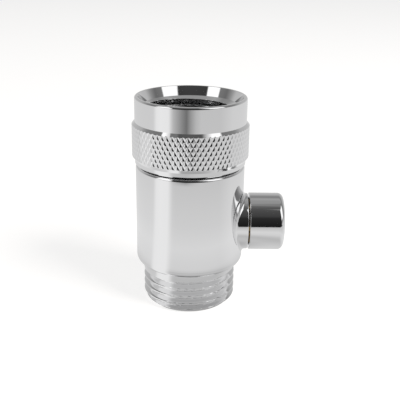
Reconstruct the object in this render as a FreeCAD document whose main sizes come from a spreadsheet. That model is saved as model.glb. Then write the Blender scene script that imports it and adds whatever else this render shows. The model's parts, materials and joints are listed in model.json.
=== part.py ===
import FreeCAD, Part
import math
import os
import re
import Sketcher

# In-line shower stop valve with G1/2 ends: a swivel union nut with a diamond knurl on top,
# a turned body with a side boss and a push-pull knob, and a plain outlet thread at the bottom.
# Lengths are in millimetres. Z is the main axis and z = 0 is the outlet's end face.
# The knob's axis is parallel to X. The knob is drawn pushed in, with the valve shut.

SIZES = (
    # Outlet thread and body
    ("thread_radius", 10.4775),
    ("thread_depth", 1.1615),
    ("thread_end_chamfer", 1.1775),
    ("shoulder_height", 9.3),
    ("shoulder_width", 1.6225),
    ("body_top", 32.2),
    ("body_edge_round", 0.62),
    ("neck_wall", 1.42),
    ("neck_land", 0.77),
    ("neck_chamfer", 0.3),
    # Union nut
    ("nut_gap", 0.3),
    ("nut_fit", 0.05),
    ("nut_length", 14.85),
    ("nut_lip_thickness", 2.1),
    ("nut_bottom_chamfer", 0.25),
    ("nut_edge_round", 0.45),
    ("collar_step", 0.12),
    ("mouth_width", 0.9225),
    ("mouth_depth", 2.1),
    ("thread_bore_clearance", 0.05),
    ("thread_relief_depth", 0.4),
    # Knurl band of the union nut
    ("skirt_height", 1.92),
    ("knurl_rise", 0.63),
    ("knurl_depth", 0.48),
    ("knurl_row_height", 0.98),
    ("knurl_half_rows", 7),
    ("knurl_columns", 72),
    ("knurl_upper_chamfer", 0.68),
    ("knurl_lower_chamfer", 0.85),
    ("knurl_chamfer_overrun", 0.4),
    # Rings that hold the nut on the neck
    ("glide_play", 0.05),
    ("glide_ring_thickness", 0.5),
    ("glide_ring_width", 1.48),
    ("glide_ring_clearance", 0.12),
    ("snap_ring_thickness", 1.0),
    ("snap_ring_overlap", 1.4),
    ("snap_ring_opening", 34),
    ("snap_groove_depth", 0.8),
    ("snap_groove_clearance", 0.04),
    # Inlet washer, strainer and bore
    ("washer_gap", 0.316),
    ("washer_thickness", 1.8),
    ("inlet_bore_radius", 5.6),
    ("inlet_drilling_radius", 2.4),
    ("drilling_margin", 0.2),
    ("strainer_fit", 0.08),
    ("strainer_cup_gap", 0.16),
    ("strainer_flange_width", 0.9),
    ("strainer_flange_thickness", 0.8),
    ("strainer_wall", 0.55),
    ("strainer_depth", 6.4),
    ("strainer_slot_width", 0.9),
    ("strainer_slot_pairs", 5),
    # Side boss and the bores on the knob's axis
    ("boss_ledge", 0.3775),
    ("boss_wall", 1.4),
    ("boss_projection", 1.0),
    ("boss_fillet", 0.8),
    ("packing_step", 0.6),
    ("chamber_clearance", 0.27),
    ("chamber_roof", 4.1),
    ("seat_offset", 1.5),
    ("seat_bore_radius", 3.0),
    ("seat_rim_width", 0.55),
    ("seat_rim_height", 0.4),
    # Plunger
    ("plunger_travel", 5.0),
    ("plunger_stop_gap", 0.3),
    ("seat_gap", 0.05),
    ("seat_washer_cover", 0.15),
    ("seat_washer_thickness", 1.5),
    ("holder_wall", 0.4),
    ("holder_rim_depth", 0.7),
    ("holder_thickness", 1.4),
    ("stem_radius", 2.0),
    ("stem_fit", 0.05),
    ("stem_tip_radius", 1.5),
    ("stem_tip_length", 3.8),
    ("screw_radius", 1.0),
    ("screw_head_radius", 2.0),
    ("screw_head_thickness", 1.1),
    ("screw_head_chamfer", 0.28),
    ("screw_depth", 4.0),
    ("screw_slot_width", 0.5),
    ("screw_slot_depth", 0.55),
    ("thread_fit", 0.03),
    # Packing of the stem
    ("packing_fit", 0.05),
    ("packing_washer_thickness", 1.2),
    ("gland_head_overlap", 0.2),
    ("gland_head_height", 2.0),
    # Knob
    ("knob_gap", 0.3),
    ("knob_length", 7.8),
    ("knob_wall", 0.9),
    ("knob_edge_round", 1.2),
    ("knob_rim_chamfer", 0.2),
    ("knob_recess_gap", 0.4),
    ("knob_recess_clearance", 0.8),
    ("knob_bore_clearance", 0.4),
    # Outlet bore and check valve
    ("outlet_bore_radius", 7.5),
    ("outlet_bore_depth", 10.5),
    ("outlet_bore_chamfer", 0.4),
    ("outlet_drilling_radius", 2.4),
    ("check_fit", 0.05),
    ("check_bottom", 0.8),
    ("check_wall", 1.15),
    ("check_seat_thickness", 1.8),
    ("check_seat_cover", 0.9),
    ("check_ring_cord", 0.42),
    ("check_ring_groove_width", 1.0),
    ("guide_ring_wall", 0.9),
    ("guide_ring_height", 1.5),
    ("guide_hub_ledge", 0.45),
    ("guide_height", 1.8),
    ("guide_spoke_width", 1.0),
    ("guide_spoke_height", 1.1),
    ("guide_spokes", 3),
    ("poppet_water_gap", 1.1),
    ("poppet_thickness", 1.2),
    ("poppet_nose_gap", 0.5),
    ("poppet_nose_height", 1.6),
    ("poppet_nose_taper", 0.8),
    ("poppet_stem_radius", 1.0),
    ("poppet_stem_fit", 0.08),
    ("poppet_stem_overlap", 0.6),
    ("poppet_seal_thickness", 0.75),
    ("spring_wire_gap", 0.55),
    ("spring_wire_radius", 0.2),
    ("spring_turns", 4),
)

# Places and radii that follow from the sizes, each from what the piece fits or stands on
PLACES = {
    "thread_end_radius": "thread_radius - thread_end_chamfer",
    "body_radius": "thread_radius + shoulder_width",
    "shoulder_top": "shoulder_height + shoulder_width",
    "nut_bottom": "body_top + nut_gap",
    "nut_top": "nut_bottom + nut_length",
    "lip_top": "nut_bottom + nut_lip_thickness",
    "collar_radius": "body_radius + collar_step",
    "thread_bore_radius": "thread_radius + thread_bore_clearance",
    "mouth_radius": "thread_bore_radius + mouth_width",
    "knurl_bottom": "nut_bottom + skirt_height",
    "knurl_top": "knurl_bottom + knurl_half_rows * knurl_row_height",
    "knurl_radius": "collar_radius + knurl_rise",
    "glide_bottom": "lip_top + glide_play",
    "groove_bottom": "glide_bottom + glide_ring_thickness",
    "snap_bottom": "groove_bottom + snap_groove_clearance",
    "groove_top": "snap_bottom + snap_ring_thickness + snap_groove_clearance",
    "neck_top": "groove_top + neck_land",
    "neck_radius": "strainer_seat_radius + neck_wall",
    "snap_groove_radius": "neck_radius - snap_groove_depth",
    "washer_top": "neck_top + washer_thickness",
    "washer_radius": "thread_radius - thread_depth - washer_gap",
    "strainer_cup_radius": "inlet_bore_radius - strainer_cup_gap",
    "strainer_flange_radius": "inlet_bore_radius + strainer_flange_width",
    "strainer_seat_radius": "strainer_flange_radius + strainer_fit",
    "strainer_floor": "neck_top - strainer_depth",
    "inlet_drilling_offset": "inlet_bore_radius - inlet_drilling_radius - drilling_margin",
    "inlet_bore_floor": "knob_axis_height + chamber_radius + chamber_roof",
    "seat_rim_radius": "seat_bore_radius + seat_rim_width",
    "seat_washer_radius": "seat_rim_radius + seat_washer_cover",
    "holder_radius": "seat_washer_radius + thread_fit + holder_wall",
    "chamber_radius": "holder_radius + chamber_clearance",
    "gland_bore_radius": "chamber_radius + packing_step",
    "boss_radius": "gland_bore_radius + boss_wall",
    "boss_end": "body_radius + boss_projection",
    "knob_axis_height": "shoulder_top + boss_ledge + boss_fillet + boss_radius",
    "washer_face": "seat_gap - seat_offset",
    "washer_back": "washer_face + seat_washer_thickness",
    "holder_back": "washer_back + holder_thickness",
    "packing_start": "holder_back + plunger_travel + plunger_stop_gap",
    "packing_cord": "(gland_bore_radius - packing_fit - stem_radius - stem_fit) / 2",
    "packing_ring_start": "packing_start + packing_washer_thickness",
    "gland_start": "packing_ring_start + 2 * packing_cord",
    "gland_end": "boss_end + gland_head_height",
    "gland_corner_radius": "gland_bore_radius + gland_head_overlap",
    "stem_shoulder": "gland_end + knob_recess_clearance",
    "knob_start": "boss_end + knob_gap",
    "knob_end": "knob_start + knob_length",
    "knob_recess_radius": "gland_corner_radius + knob_recess_gap",
    "knob_radius": "knob_recess_radius + knob_wall",
    "outlet_drilling_offset": "outlet_bore_radius - outlet_drilling_radius - drilling_margin",
    "seat_bore_end": "outlet_drilling_offset + outlet_drilling_radius + 2 * drilling_margin",
    "check_radius": "outlet_bore_radius - check_fit",
    "check_bore_radius": "check_radius - check_wall",
    "check_seat": "outlet_bore_depth - check_seat_thickness",
    "check_seat_radius": "poppet_radius - check_seat_cover",
    "guide_radius": "check_bore_radius - check_fit",
    "guide_top": "check_bottom + guide_height",
    "guide_bore_radius": "poppet_stem_radius + poppet_stem_fit",
    "guide_hub_radius": "spring_radius + spring_wire_radius + guide_hub_ledge",
    "poppet_radius": "check_bore_radius - poppet_water_gap",
    "poppet_nose_radius": "check_seat_radius - poppet_nose_gap",
    "seal_top": "check_seat - seat_gap",
    "poppet_top": "seal_top - poppet_seal_thickness",
    "poppet_bottom": "poppet_top - poppet_thickness",
    "spring_radius": "poppet_stem_radius + spring_wire_gap + spring_wire_radius",
}

PARTS_FOLDER = "parts"
CUT_OVERRUN = 1.0
DRILL_POINT_SLOPE = math.tan(math.radians(31))
TOLERANCE = 1e-4
EDGE_BOX_SLACK = 0.1
WIRE_SIDES = 8

os.makedirs(PARTS_FOLDER, exist_ok=True)
doc = FreeCAD.newDocument("shower_stop_valve")
sheet = doc.addObject("Spreadsheet::Sheet", "Sizes")
nodes = []


def fill_sheet():
    """Puts each size in a row of the sheet: its name in A and its number in B, with an alias."""
    for row, (name, size) in enumerate(SIZES, start=1):
        sheet.set("A%d" % row, name)
        sheet.set("B%d" % row, str(size))
        sheet.setAlias("B%d" % row, name)
    doc.recompute()


def spelled_out(formula):
    """The formula with each shared place replaced by what it is worked out from."""
    word = re.compile(r"[a-z_]+")
    while any(found in PLACES for found in word.findall(formula)):
        formula = word.sub(lambda found: "(%s)" % PLACES[found.group()]
                           if found.group() in PLACES else found.group(), formula)
    return formula


def bound(formula):
    """The formula as an expression that an object of the document can hold."""
    names = {name for name, size in SIZES}
    return re.sub(r"[a-z_]+", lambda found: "Sizes." + found.group()
                  if found.group() in names else found.group(), spelled_out(formula))


def number(formula):
    """The number that the formula gives now, as plain millimetres, degrees or a count."""
    return float(sheet.evalExpression(spelled_out(formula)))


def bind(target, prop, formula):
    """Ties one property of an object to the sheet."""
    target.setExpression(prop, bound(formula))


def new_body(name):
    """A PartDesign body whose label names a piece."""
    body = doc.addObject("PartDesign::Body", name)
    body.Label = name
    return body


def origin_plane(body, role):
    """One of the body's own origin planes, found by its role."""
    return [feature for feature in body.Origin.OriginFeatures if feature.Role == role][0]


def new_sketch(body, name, role):
    """A sketch on one of the body's own origin planes."""
    sketch = body.newObject("Sketcher::SketchObject", name)
    sketch.AttachmentSupport = (origin_plane(body, role), [""])
    sketch.MapMode = "FlatFace"
    return sketch


def fix_point(sketch, edge, end, across, up):
    """Ties one end of an edge, or an arc's centre, to its two formulas."""
    for kind, formula in (("DistanceX", across), ("DistanceY", up)):
        if formula is None:
            continue
        index = sketch.addConstraint(Sketcher.Constraint(kind, -1, 1, edge, end, number(formula)))
        bind(sketch, "Constraints[%d]" % index, formula)


def draw_outline(sketch, corners):
    """Draws a closed outline through corners of (across, up) formulas.

    A corner with two more formulas starts an arc about that centre instead of a line.
    """
    first = sketch.GeometryCount
    ends = []
    for index, corner in enumerate(corners):
        following = corners[(index + 1) % len(corners)]
        start = FreeCAD.Vector(number(corner[0]), number(corner[1]), 0)
        stop = FreeCAD.Vector(number(following[0]), number(following[1]), 0)
        if len(corner) == 2:
            sketch.addGeometry(Part.LineSegment(start, stop), False)
            ends.append((1, 2))
            continue
        centre = FreeCAD.Vector(number(corner[2]), number(corner[3]), 0)
        circle = Part.Circle(centre, FreeCAD.Vector(0, 0, 1), (start - centre).Length)
        angles = [math.atan2(point.y - centre.y, point.x - centre.x) for point in (start, stop)]
        forwards = (angles[1] - angles[0]) % (2 * math.pi) < math.pi
        if not forwards:
            angles.reverse()
        if angles[1] < angles[0]:
            angles[1] += 2 * math.pi
        sketch.addGeometry(Part.ArcOfCircle(circle, angles[0], angles[1]), False)
        ends.append((1, 2) if forwards else (2, 1))
    count = len(corners)
    for index, corner in enumerate(corners):
        following = (index + 1) % count
        sketch.addConstraint(Sketcher.Constraint(
            "Coincident", first + index, ends[index][1], first + following, ends[following][0]))
        fix_point(sketch, first + index, ends[index][0], corner[0], corner[1])
        if len(corner) == 4:
            fix_point(sketch, first + index, 3, corner[2], None)


def draw_circle(sketch, across, up, radius):
    """Draws a circle whose centre and radius are tied to formulas."""
    centre = FreeCAD.Vector(number(across), number(up), 0)
    circle = Part.Circle(centre, FreeCAD.Vector(0, 0, 1), number(radius))
    edge = sketch.addGeometry(circle, False)
    fix_point(sketch, edge, 3, across, up)
    index = sketch.addConstraint(Sketcher.Constraint("Radius", edge, number(radius)))
    bind(sketch, "Constraints[%d]" % index, radius)


def turned_feature(body, kind, name, corners, axis, degrees="360"):
    """A revolution or groove of an outline on the XZ plane about the vertical or level axis."""
    sketch = new_sketch(body, name + "_outline", "XZ_Plane")
    draw_outline(sketch, corners)
    feature = body.newObject("PartDesign::" + kind, name)
    feature.Profile = sketch
    feature.ReferenceAxis = (sketch, [axis])
    bind(feature, "Angle", degrees)
    doc.recompute()
    return feature


def turned_piece(name, corners, axis="V_Axis", degrees="360"):
    """A piece made by one revolution. Level pieces lie on the knob's axis."""
    body = new_body(name)
    turned_feature(body, "Revolution", name + "_turned", corners, axis, degrees)
    if axis == "H_Axis":
        bind(body, "Placement.Base.z", "knob_axis_height")
    return body


def cutting_cylinder(body, name, radius, length, across, up):
    """Cuts an upright drilling that starts at a height and runs up."""
    cutter = body.newObject("PartDesign::SubtractiveCylinder", name)
    cutter.AttachmentSupport = [(origin_plane(body, "XY_Plane"), "")]
    cutter.MapMode = "FlatFace"
    bind(cutter, "Radius", radius)
    bind(cutter, "Height", length)
    bind(cutter, "AttachmentOffset.Base.x", across)
    bind(cutter, "AttachmentOffset.Base.z", up)
    doc.recompute()
    return cutter


def keep(piece):
    """Notes a finished piece, whose label names its file."""
    nodes.append(piece)
    return piece


# Body with its neck, boss and waterways
def make_valve_body():
    """One turned and drilled piece: outlet thread, wall, neck, boss, bores and valve seat."""
    body = new_body("valve_body")
    turned_feature(body, "Revolution", "body_turned", [
        ("0", "0"),
        ("thread_end_radius", "0"),
        ("thread_radius", "thread_end_chamfer"),
        ("thread_radius", "shoulder_height", "thread_radius", "shoulder_top"),
        ("body_radius", "shoulder_top"),
        ("body_radius", "body_top - body_edge_round",
         "body_radius - body_edge_round", "body_top - body_edge_round"),
        ("body_radius - body_edge_round", "body_top"),
        ("neck_radius", "body_top"),
        ("neck_radius", "groove_bottom"),
        ("snap_groove_radius", "groove_bottom"),
        ("snap_groove_radius", "groove_top"),
        ("neck_radius", "groove_top"),
        ("neck_radius", "neck_top - neck_chamfer"),
        ("neck_radius - neck_chamfer", "neck_top"),
        ("0", "neck_top"),
    ], "V_Axis")
    add_boss(body)
    turned_feature(body, "Groove", "inlet_bore", [
        ("0", "neck_top + %g" % CUT_OVERRUN),
        ("strainer_seat_radius", "neck_top + %g" % CUT_OVERRUN),
        ("strainer_seat_radius", "neck_top - strainer_flange_thickness"),
        ("inlet_bore_radius", "neck_top - strainer_flange_thickness"),
        ("inlet_bore_radius", "inlet_bore_floor"),
        ("0", "inlet_bore_floor"),
    ], "V_Axis")
    turned_feature(body, "Groove", "outlet_bore", [
        ("0", "-%g" % CUT_OVERRUN),
        ("outlet_bore_radius + outlet_bore_chamfer", "-%g" % CUT_OVERRUN),
        ("outlet_bore_radius + outlet_bore_chamfer", "0"),
        ("outlet_bore_radius", "outlet_bore_chamfer"),
        ("outlet_bore_radius", "outlet_bore_depth"),
        ("0", "outlet_bore_depth"),
    ], "V_Axis")
    add_cross_bore(body)
    cutting_cylinder(body, "inlet_drilling", "inlet_drilling_radius",
                     "inlet_bore_floor - knob_axis_height + %g" % CUT_OVERRUN,
                     "inlet_drilling_offset", "knob_axis_height")
    cutting_cylinder(body, "outlet_drilling", "outlet_drilling_radius",
                     "knob_axis_height - outlet_bore_depth + %g" % CUT_OVERRUN,
                     "-outlet_drilling_offset", "outlet_bore_depth - %g" % CUT_OVERRUN)
    return keep(body)


def add_boss(body):
    """The round boss that carries the gland, with a fillet where it leaves the wall."""
    sketch = new_sketch(body, "boss_outline", "YZ_Plane")
    draw_circle(sketch, "0", "knob_axis_height", "boss_radius")
    boss = body.newObject("PartDesign::Pad", "boss")
    boss.Profile = sketch
    bind(boss, "Length", "boss_end")
    doc.recompute()
    root_edges = []
    for index, edge in enumerate(boss.Shape.Edges, start=1):
        box = edge.BoundBox
        crosses_wall = box.XMin > 0 and box.XMax < number("body_radius") + TOLERANCE
        about_boss = abs(box.ZLength - 2 * number("boss_radius")) < EDGE_BOX_SLACK
        if crosses_wall and about_boss:
            root_edges.append("Edge%d" % index)
    fillet = body.newObject("PartDesign::Fillet", "boss_root_fillet")
    fillet.Base = (boss, root_edges)
    bind(fillet, "Radius", "boss_fillet")
    doc.recompute()


def add_cross_bore(body):
    """The stepped bore on the knob's axis: gland thread, chamber, raised seat and seat bore."""
    axis = "knob_axis_height"
    sketch = new_sketch(body, "cross_bore_outline", "XZ_Plane")
    draw_outline(sketch, [
        ("boss_end + %g" % CUT_OVERRUN, axis),
        ("boss_end + %g" % CUT_OVERRUN, axis + " + gland_bore_radius"),
        ("packing_start", axis + " + gland_bore_radius"),
        ("packing_start", axis + " + chamber_radius"),
        ("-seat_offset - seat_rim_height", axis + " + chamber_radius"),
        ("-seat_offset - seat_rim_height", axis + " + seat_rim_radius"),
        ("-seat_offset", axis + " + seat_rim_radius"),
        ("-seat_offset", axis + " + seat_bore_radius"),
        ("-seat_bore_end", axis + " + seat_bore_radius"),
        ("-seat_bore_end - seat_bore_radius * %.4f" % DRILL_POINT_SLOPE, axis),
    ])
    level = FreeCAD.Vector(0, number(axis), 0)
    reach = FreeCAD.Vector(number("boss_end"), 0, 0)
    line = sketch.addGeometry(Part.LineSegment(level, level + reach), True)
    fix_point(sketch, line, 1, "0", axis)
    sketch.addConstraint(Sketcher.Constraint("Horizontal", line))
    groove = body.newObject("PartDesign::Groove", "cross_bore")
    groove.Profile = sketch
    groove.ReferenceAxis = (sketch, ["Axis0"])
    groove.Angle = 360
    doc.recompute()


# Union nut
def make_union_nut():
    """A turned nut whose grip band is a true diamond knurl, cut back by a chamfer at each end."""
    blank = turned_piece("nut_blank", [
        ("neck_radius + nut_fit", "nut_bottom"),
        ("collar_radius - nut_bottom_chamfer", "nut_bottom"),
        ("collar_radius", "nut_bottom + nut_bottom_chamfer"),
        ("collar_radius", "nut_top - nut_edge_round",
         "collar_radius - nut_edge_round", "nut_top - nut_edge_round"),
        ("collar_radius - nut_edge_round", "nut_top"),
        ("mouth_radius", "nut_top"),
        ("thread_bore_radius", "nut_top - mouth_depth"),
        ("thread_bore_radius", "washer_top"),
        ("thread_bore_radius + thread_relief_depth", "washer_top"),
        ("thread_bore_radius + thread_relief_depth", "lip_top"),
        ("neck_radius + nut_fit", "lip_top"),
    ])
    limit = "collar_radius + (1 + knurl_chamfer_overrun) * knurl_rise"
    ring = turned_piece("knurl_ring", [
        ("collar_radius - knurl_depth", "knurl_bottom - knurl_lower_chamfer"),
        ("collar_radius", "knurl_bottom - knurl_lower_chamfer"),
        (limit, "knurl_bottom + knurl_chamfer_overrun * knurl_lower_chamfer"),
        (limit, "knurl_top - knurl_chamfer_overrun * knurl_upper_chamfer"),
        ("collar_radius", "knurl_top + knurl_upper_chamfer"),
        ("collar_radius - knurl_depth", "knurl_top + knurl_upper_chamfer"),
    ])
    lattice = doc.addObject("Part::Feature", "knurl_lattice")
    lattice.Shape = knurl_lattice()
    band = doc.addObject("Part::Common", "knurl_band")
    band.Base = ring
    band.Tool = lattice
    nut = doc.addObject("Part::Fuse", "union_nut")
    nut.Label = "union_nut"
    nut.Base = blank
    nut.Tool = band
    doc.recompute()
    return keep(nut)


def knurl_lattice():
    """A closed drum covered with four-sided pyramids, one half row above and below the band.

    The pyramids' feet meet in the bottoms of two families of crossing V grooves. Each level
    half row is turned by half a column from the one below it.
    """
    columns = int(number("knurl_columns"))
    levels = int(number("knurl_half_rows")) + 2
    height = number("knurl_row_height")
    peak = number("knurl_radius")
    foot = peak - number("knurl_depth")
    lowest = number("knurl_bottom") - height
    half_column = math.pi / columns

    def corner(radius, half_columns, level):
        angle = half_columns * half_column
        return FreeCAD.Vector(radius * math.cos(angle), radius * math.sin(angle),
                              lowest + level * height)

    faces = []
    for level in range(levels + 1):
        rim = []
        for column in range(columns):
            middle = 2 * column + level % 2
            apex = corner(peak, middle, level)
            left = corner(foot, middle - 1, level)
            right = corner(foot, middle + 1, level)
            rim += [left, apex]
            if level < levels:
                above = corner(foot, middle, level + 1)
                faces += [flat_face(left, apex, above), flat_face(apex, right, above)]
            if level > 0:
                below = corner(foot, middle, level - 1)
                faces += [flat_face(left, below, apex), flat_face(apex, below, right)]
        if level in (0, levels):
            faces.append(flat_face(*rim))
    shell = Part.Shell(faces)
    shell.sewShape()
    drum = Part.Solid(shell)
    drum.fixTolerance(TOLERANCE)
    if drum.Volume < 0:
        drum.reverse()
    return drum


def flat_face(*corners):
    """A flat face through its corners in order."""
    return Part.Face(Part.makePolygon(list(corners) + [corners[0]]))


# Rings on the neck
def make_neck_rings():
    """The slip ring on the nut's lip and the open snap ring above it in the neck's groove."""
    keep(turned_piece("nut_glide_ring", [
        ("neck_radius + glide_ring_clearance", "glide_bottom"),
        ("neck_radius + glide_ring_clearance + glide_ring_width", "glide_bottom"),
        ("neck_radius + glide_ring_clearance + glide_ring_width", "groove_bottom"),
        ("neck_radius + glide_ring_clearance", "groove_bottom"),
    ]))
    keep(turned_piece("nut_snap_ring", [
        ("snap_groove_radius + snap_groove_clearance", "snap_bottom"),
        ("neck_radius + snap_ring_overlap", "snap_bottom"),
        ("neck_radius + snap_ring_overlap", "snap_bottom + snap_ring_thickness"),
        ("snap_groove_radius + snap_groove_clearance", "snap_bottom + snap_ring_thickness"),
    ], degrees="360 - snap_ring_opening"))


# Inlet washer and strainer
def make_inlet_washer():
    """The flat sealing washer on the neck's end face."""
    keep(turned_piece("inlet_washer", [
        ("inlet_bore_radius", "neck_top"),
        ("washer_radius", "neck_top"),
        ("washer_radius", "washer_top"),
        ("inlet_bore_radius", "washer_top"),
    ]))


def make_inlet_strainer():
    """A slotted cup that hangs in the inlet bore by its flange, under the washer."""
    body = new_body("inlet_strainer")
    turned_feature(body, "Revolution", "strainer_cup", [
        ("0", "strainer_floor"),
        ("strainer_cup_radius - strainer_wall", "strainer_floor"),
        ("strainer_cup_radius", "strainer_floor + strainer_wall"),
        ("strainer_cup_radius", "neck_top - strainer_flange_thickness"),
        ("strainer_flange_radius", "neck_top - strainer_flange_thickness"),
        ("strainer_flange_radius", "neck_top"),
        ("strainer_cup_radius - strainer_wall", "neck_top"),
        ("strainer_cup_radius - strainer_wall", "strainer_floor + strainer_wall"),
        ("0", "strainer_floor + strainer_wall"),
    ], "V_Axis")
    sketch = new_sketch(body, "slot_outline", "XZ_Plane")
    slot_top = "neck_top - strainer_flange_thickness - strainer_wall"
    draw_outline(sketch, [
        ("-strainer_slot_width / 2", "strainer_floor + 2 * strainer_wall"),
        ("strainer_slot_width / 2", "strainer_floor + 2 * strainer_wall"),
        ("strainer_slot_width / 2", slot_top),
        ("-strainer_slot_width / 2", slot_top),
    ])
    slots = body.newObject("PartDesign::Pocket", "strainer_slots")
    slots.Profile = sketch
    slots.Midplane = True
    bind(slots, "Length", "2 * inlet_bore_radius")
    doc.recompute()
    pattern = body.newObject("PartDesign::PolarPattern", "strainer_slot_pattern")
    pattern.Originals = [slots]
    pattern.Axis = (sketch, ["V_Axis"])
    pattern.Angle = 180
    bind(pattern, "Occurrences", "strainer_slot_pairs + 1")
    body.Tip = pattern
    doc.recompute()
    keep(body)


# Gland and packing of the stem
def make_packing():
    """The packing washer on its step, the O-ring beside it and the gland nut that holds both."""
    keep(turned_piece("packing_washer", [
        ("packing_start", "stem_radius + stem_fit"),
        ("packing_ring_start", "stem_radius + stem_fit"),
        ("packing_ring_start", "gland_bore_radius - packing_fit"),
        ("packing_start", "gland_bore_radius - packing_fit"),
    ], "H_Axis"))
    make_o_ring("stem_o_ring", "stem_radius + stem_fit + packing_cord", "packing_cord",
                "packing_ring_start + packing_cord", level=True)
    make_gland_nut()


def make_o_ring(name, radius, cord, place, level=False):
    """A round cord ring, upright about the main axis or level about the knob's axis."""
    ring = doc.addObject("Part::Torus", name)
    ring.Label = name
    bind(ring, "Radius1", radius)
    bind(ring, "Radius2", cord)
    if level:
        ring.Placement.Rotation = FreeCAD.Rotation(FreeCAD.Vector(0, 1, 0), 90)
        bind(ring, "Placement.Base.x", place)
        bind(ring, "Placement.Base.z", "knob_axis_height")
    else:
        bind(ring, "Placement.Base.z", place)
    doc.recompute()
    keep(ring)


def make_gland_nut():
    """A hexagon-headed bush that screws into the boss and guides the stem."""
    body = new_body("gland_nut")
    turned_feature(body, "Revolution", "gland_turned", [
        ("gland_start", "stem_radius + stem_fit"),
        ("gland_end", "stem_radius + stem_fit"),
        ("gland_end", "gland_bore_radius - packing_fit"),
        ("gland_start", "gland_bore_radius - packing_fit"),
    ], "H_Axis")
    sketch = new_sketch(body, "gland_hexagon", "YZ_Plane")
    corner = "gland_corner_radius"
    half = "gland_corner_radius * cos(30 deg)"
    draw_circle(sketch, "0", "0", "gland_bore_radius + %g" % CUT_OVERRUN)
    draw_outline(sketch, [
        (corner, "0"),
        (corner + " / 2", half),
        ("-%s / 2" % corner, half),
        ("-%s" % corner, "0"),
        ("-%s / 2" % corner, "-" + half),
        (corner + " / 2", "-" + half),
    ])
    bind(sketch, "AttachmentOffset.Base.z", "boss_end")
    flats = body.newObject("PartDesign::Pocket", "gland_flats")
    flats.Profile = sketch
    flats.Reversed = True
    bind(flats, "Length", "gland_head_height + %g" % CUT_OVERRUN)
    bind(body, "Placement.Base.z", "knob_axis_height")
    doc.recompute()
    keep(body)


# Plunger with its washer, screw and knob
def make_plunger():
    """What slides along the knob's axis: washer, holder, screw, stem and knob."""
    keep(turned_piece("seat_washer", [
        ("washer_face", "screw_radius + thread_fit"),
        ("washer_back", "screw_radius + thread_fit"),
        ("washer_back", "seat_washer_radius"),
        ("washer_face", "seat_washer_radius"),
    ], "H_Axis"))
    keep(turned_piece("washer_holder", [
        ("washer_back", "screw_radius + thread_fit"),
        ("holder_back", "screw_radius + thread_fit"),
        ("holder_back", "holder_radius"),
        ("washer_back - holder_rim_depth", "holder_radius"),
        ("washer_back - holder_rim_depth", "seat_washer_radius + thread_fit"),
        ("washer_back", "seat_washer_radius + thread_fit"),
    ], "H_Axis"))
    make_plunger_screw()
    keep(turned_piece("stem", [
        ("holder_back", "screw_radius + thread_fit"),
        ("holder_back", "stem_radius"),
        ("stem_shoulder", "stem_radius"),
        ("stem_shoulder", "stem_tip_radius"),
        ("stem_shoulder + stem_tip_length", "stem_tip_radius"),
        ("stem_shoulder + stem_tip_length", "0"),
        ("holder_back + screw_depth + knob_bore_clearance", "0"),
        ("holder_back + screw_depth + knob_bore_clearance", "screw_radius + thread_fit"),
    ], "H_Axis"))
    make_knob()


def make_plunger_screw():
    """A slotted screw that clamps the washer and its holder to the stem's inner end."""
    body = new_body("plunger_screw")
    turned_feature(body, "Revolution", "screw_turned", [
        ("washer_face - screw_head_thickness", "0"),
        ("washer_face - screw_head_thickness", "screw_head_radius - screw_head_chamfer"),
        ("washer_face - screw_head_thickness + screw_head_chamfer", "screw_head_radius"),
        ("washer_face", "screw_head_radius"),
        ("washer_face", "screw_radius"),
        ("holder_back + screw_depth", "screw_radius"),
        ("holder_back + screw_depth", "0"),
    ], "H_Axis")
    sketch = new_sketch(body, "slot_outline", "XZ_Plane")
    slot_floor = "washer_face - screw_head_thickness + screw_slot_depth"
    head_end = "washer_face - screw_head_thickness - %g" % CUT_OVERRUN
    draw_outline(sketch, [
        (head_end, "-screw_slot_width / 2"),
        (slot_floor, "-screw_slot_width / 2"),
        (slot_floor, "screw_slot_width / 2"),
        (head_end, "screw_slot_width / 2"),
    ])
    slot = body.newObject("PartDesign::Pocket", "screw_slot")
    slot.Profile = sketch
    slot.Midplane = True
    bind(slot, "Length", "2 * screw_head_radius + %g" % CUT_OVERRUN)
    bind(body, "Placement.Base.z", "knob_axis_height")
    doc.recompute()
    keep(body)


def make_knob():
    """A plain round push-pull knob, hollow at the back to pass over the gland nut's head."""
    keep(turned_piece("knob", [
        ("stem_shoulder", "knob_recess_radius"),
        ("knob_start + knob_rim_chamfer", "knob_recess_radius"),
        ("knob_start", "knob_recess_radius + knob_rim_chamfer"),
        ("knob_start", "knob_radius - knob_rim_chamfer"),
        ("knob_start + knob_rim_chamfer", "knob_radius"),
        ("knob_end - knob_edge_round", "knob_radius",
         "knob_end - knob_edge_round", "knob_radius - knob_edge_round"),
        ("knob_end", "knob_radius - knob_edge_round"),
        ("knob_end", "0"),
        ("stem_shoulder + stem_tip_length + knob_bore_clearance", "0"),
        ("stem_shoulder + stem_tip_length + knob_bore_clearance", "stem_tip_radius + thread_fit"),
        ("stem_shoulder", "stem_tip_radius + thread_fit"),
    ], "H_Axis"))


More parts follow.
